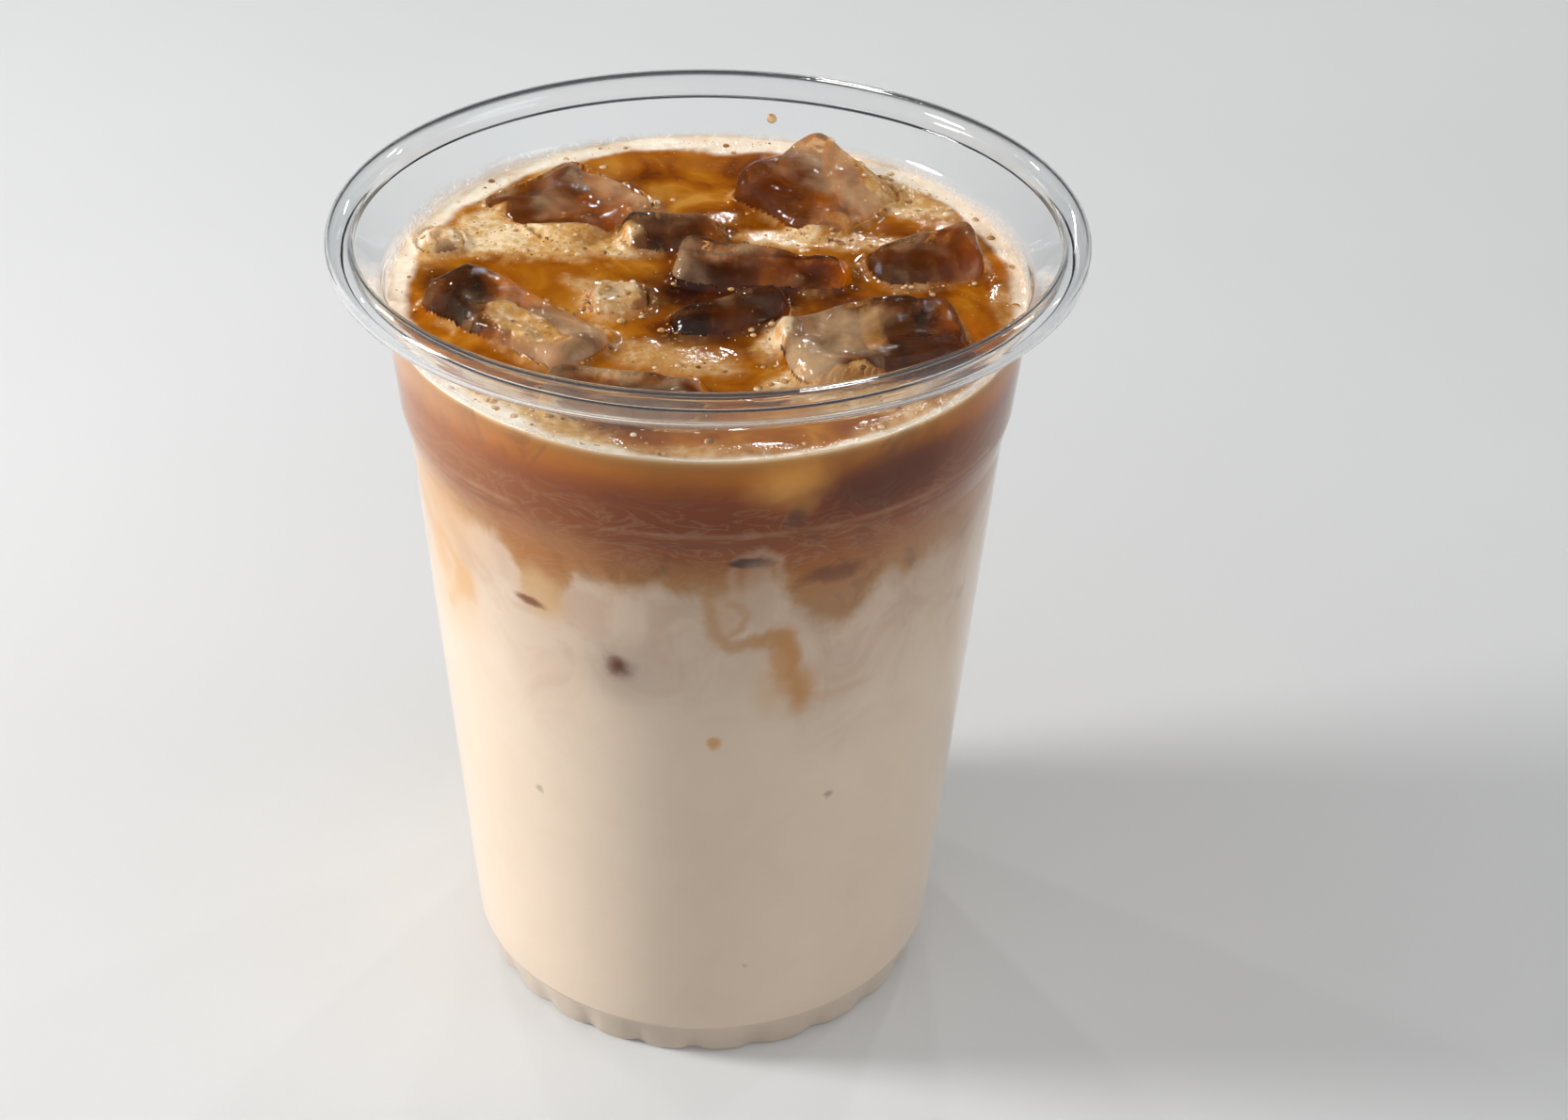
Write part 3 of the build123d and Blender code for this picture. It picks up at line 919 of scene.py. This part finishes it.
def domeInto(points, faces, centre, radius, up=0.5, facing=(0, 0, 1)):
    # adds a small closed dome that is sunk a little into what it sits on
    rows, sides = bubble["rows"], bubble["sides"]
    start = len(points)
    spots = [Vector((0, 0, up))]
    for i in range(1, rows + 1):
        a = i / rows * pi * bubble["around"]
        spots += [Vector((sin(a) * cos(2 * pi * k / sides), sin(a) * sin(2 * pi * k / sides), cos(a) * up))
                  for k in range(sides)]
    spots.append(Vector((0, 0, -bubble["sunk"])))
    turn = Vector((0, 0, 1)).rotation_difference(Vector(facing))
    points += [centre + radius * np.array(turn @ spot) for spot in spots]
    last = len(points) - 1
    for k in range(sides):
        n = (k + 1) % sides
        faces.append((start, start + 1 + k, start + 1 + n))
        for i in range(rows - 1):
            a, b = start + 1 + i * sides, start + 1 + (i + 1) * sides
            faces.append((a + k, b + k, b + n, a + n))
        a = start + 1 + (rows - 1) * sides
        faces.append((a + k, last, a + n))


bubblePoints, bubbleFaces = [], []
chance = np.random.default_rng(5)
edgeShare = np.clip(foamShare * 1.3, 0, 1) * (wallGap > 1.2)
nearIce = np.clip(1 - np.abs(gap - 0.5) / 1.2, 0, 1) * (gap > 0.2) * 0.6
weight = (edgeShare * 0.5 + nearIce * 1.6 + ringShare * 0.25 + 0.02) * (wallGap > 0.9)
picked = chance.choice(len(x), bubble["count"], replace=False, p=weight / weight.sum())
for i in picked:
    size = bubble["small"] + (bubble["large"] - bubble["small"]) * chance.random() ** bubble["mostlySmall"]
    domeInto(bubblePoints, bubbleFaces, np.array((x[i], y[i], height[i])), size)
bubbleSkin = bubbleLook()
makePiece("foamBubbles", bubblePoints, bubbleFaces, bubbleSkin)

# one drop left on the wall above the drink
print("drop and film on the wall")
drop = dict(angle=168, height=111.6, size=0.8, flatness=0.35, gap=0.05)
dropTurn = radians(drop["angle"])
inward = np.array((-sin(dropTurn), cos(dropTurn), 0))
dropCentre = np.array((0, 0, drop["height"])) - inward * (radiusOn(innerLine, drop["height"]) + drop["gap"])
dropPoints, dropFaces = [], []
domeInto(dropPoints, dropFaces, dropCentre, drop["size"], drop["flatness"], inward)
makePiece("wallDrop", dropPoints, dropFaces, bubbleSkin)

# milky film on the inside of the wall
film = dict(columns=360, rows=10, gap=0.02, thickness=0.10, start=-0.4, colour=(0.90, 0.80, 0.70), cover=0.62,
            # angle from the front, height above the drink in mm
            heights=[(-180, 1.6), (-140, 2.4), (-100, 3.8), (-70, 4.2), (-40, 2.2), (-12, 0.8), (20, 0.8),
                     (50, 1.8), (75, 3.4), (105, 3.8), (140, 2.4), (180, 1.6)])


def filmLook():
    # streaks that thin out upwards
    material, tree, where = newMaterial("milkFilm")
    runs = vectorMaths(tree, "MULTIPLY", where, (260.0, 260.0, 130.0))
    streak = noiseTexture(tree, runs, 1.0, 2.0)
    speck = noiseTexture(tree, where, 900.0, 2.0)
    share = times(tree, painted(tree, "Fade"), maths(tree, "ADD", streak, 0.45))
    share = times(tree, blendRange(tree, share, 0.05, 0.95), film["cover"])
    share = times(tree, share, blendRange(tree, speck, 0.25, 0.5))
    tone = colourMix(tree, speck, film["colour"], [c * 0.9 for c in film["colour"]])
    return finishMaterial(material, {"Base Color": tone, "Roughness": 0.35, "Alpha": share})


turns = np.arange(film["columns"]) * 2 * pi / film["columns"]
ringPlaces = np.stack([np.sin(turns) * 41, -np.cos(turns) * 41, 0 * turns], 1)
tall = np.interp((np.degrees(turns) + 180) % 360 - 180, *zip(*film["heights"]))
tall = tall * (1 + 0.5 * noiseAt(ringPlaces, 12.0, 31) + 0.10 * noiseAt(ringPlaces, 5.0, 33))
steps = list(np.linspace(0, 1, film["rows"]))
outside = [(t, film["gap"]) for t in steps]
inside = [(t, film["thickness"] * (1.4 - t)) for t in steps[::-1]]   # thins out upwards
filmPoints, fades = [], []
for share, away in outside + inside:
    z = level(ringPlaces[:, 1]) + film["start"] + tall * share
    r = radiusOn(innerLine, z) - away
    filmPoints.append(np.stack([np.sin(turns) * r, -np.cos(turns) * r, z], 1))
    fades += [1 - share] * film["columns"]
rings = np.arange(len(fades)).reshape(-1, film["columns"])
filmFaces = [face for low, high in zip(rings, np.roll(rings, -1, axis=0)) for face in joinRings(low, high)]
filmPiece = makePiece("milkFilm", np.vstack(filmPoints), filmFaces, filmLook())
paintPoints(filmPiece, "Fade", np.array(fades))

# floor, light and camera
print("floor, light and camera")
room = dict(floorSize=4.0, floorColour=(0.78, 0.78, 0.77), worldFront=0.66, worldBack=0.07,
            worldTint=(0.95, 0.97, 1.0), keyPower=3.6, keyPlace=(-0.62, 0.0, 0.44), keySize=0.18,
            fillPower=1.1, fillPlace=(0.85, -0.25, 0.45), fillSize=0.5,
            # small lamps behind for glints: angle from the back and angle up
            sparkPower=0.36, sparkSize=0.03, sparkReach=0.85,
            sparkTurns=[(-52, 36), (-24, 42), (4, 33), (26, 44), (52, 34)], lampAim=0.07)


def floorLook():
    material, tree, where = newMaterial("paleFloor")
    cloud = noiseTexture(tree, where, 6.0, 4.0)
    c = room["floorColour"]
    tone = colourRamp(tree, cloud, [(0.35, [v * 0.97 for v in c]), (0.65, c)])
    return finishMaterial(material, {"Base Color": tone, "Roughness": 0.7})


half = room["floorSize"] / 2
floorMesh = bpy.data.meshes.new("floor")
corners = [(-half, -half, 0), (half, -half, 0), (half, half, 0), (-half, half, 0)]
floorMesh.from_pydata(corners, [], [(0, 1, 2, 3)])
floorMesh.materials.append(floorLook())
floor = addObject("floor", floorMesh)


def aimAt(thing, height):
    # turns a lamp or the camera towards a height on the cup's axis
    towards = Vector((0, 0, height)) - thing.location
    thing.rotation_euler = towards.to_track_quat("-Z", "Y").to_euler()


def addLamp(name, place, power, size):
    lamp = bpy.data.lights.new(name, "AREA")
    lamp.energy, lamp.shape, lamp.size = power, "DISK", size
    holder = addObject(name, lamp)
    holder.location = place
    aimAt(holder, room["lampAim"])


addLamp("keyLamp", room["keyPlace"], room["keyPower"], room["keySize"])
addLamp("fillLamp", room["fillPlace"], room["fillPower"], room["fillSize"])
for i, (turn, lift) in enumerate(room["sparkTurns"]):
    a, b = radians(turn), radians(lift)
    place = Vector((sin(a) * cos(b), cos(a) * cos(b), sin(b))) * room["sparkReach"]
    addLamp(f"sparkLamp{i}", place, room["sparkPower"], room["sparkSize"])
world = bpy.data.worlds.new("paleRoom")
bpy.context.scene.world = world
world.use_nodes = True
worldTree = world.node_tree
direction = newNode(worldTree, "TexCoord").outputs["Generated"]
direction = newNode(worldTree, "SeparateXYZ", {0: direction}).outputs["Y"]
behind = blendRange(worldTree, direction, -0.35, 0.45)
tints = [[c * room[name] for c in room["worldTint"]] for name in ("worldFront", "worldBack")]
worldTree.links.new(colourMix(worldTree, behind, *tints), worldTree.nodes["Background"].inputs["Color"])

viewFrom = dict(distance=0.34735, elevation=34.163, aimHeight=0.0585, roll=0.469,
                lens=56.27, sensor=36.0, shiftX=0.0503, shiftY=0.0187)
cameraData = bpy.data.cameras.new("camera")
cameraData.sensor_width = viewFrom["sensor"]
cameraData.lens = viewFrom["lens"]
cameraData.shift_x, cameraData.shift_y = viewFrom["shiftX"], viewFrom["shiftY"]
cameraData.clip_start = 0.01
camera = addObject("camera", cameraData)
rise = radians(viewFrom["elevation"])
reach = viewFrom["distance"]
camera.location = (0, -reach * cos(rise), viewFrom["aimHeight"] + reach * sin(rise))
aimAt(camera, viewFrom["aimHeight"])
camera.rotation_euler.rotate_axis("Z", radians(viewFrom["roll"]))
bpy.context.scene.camera = camera
bpy.context.scene.view_settings.view_transform = "Standard"
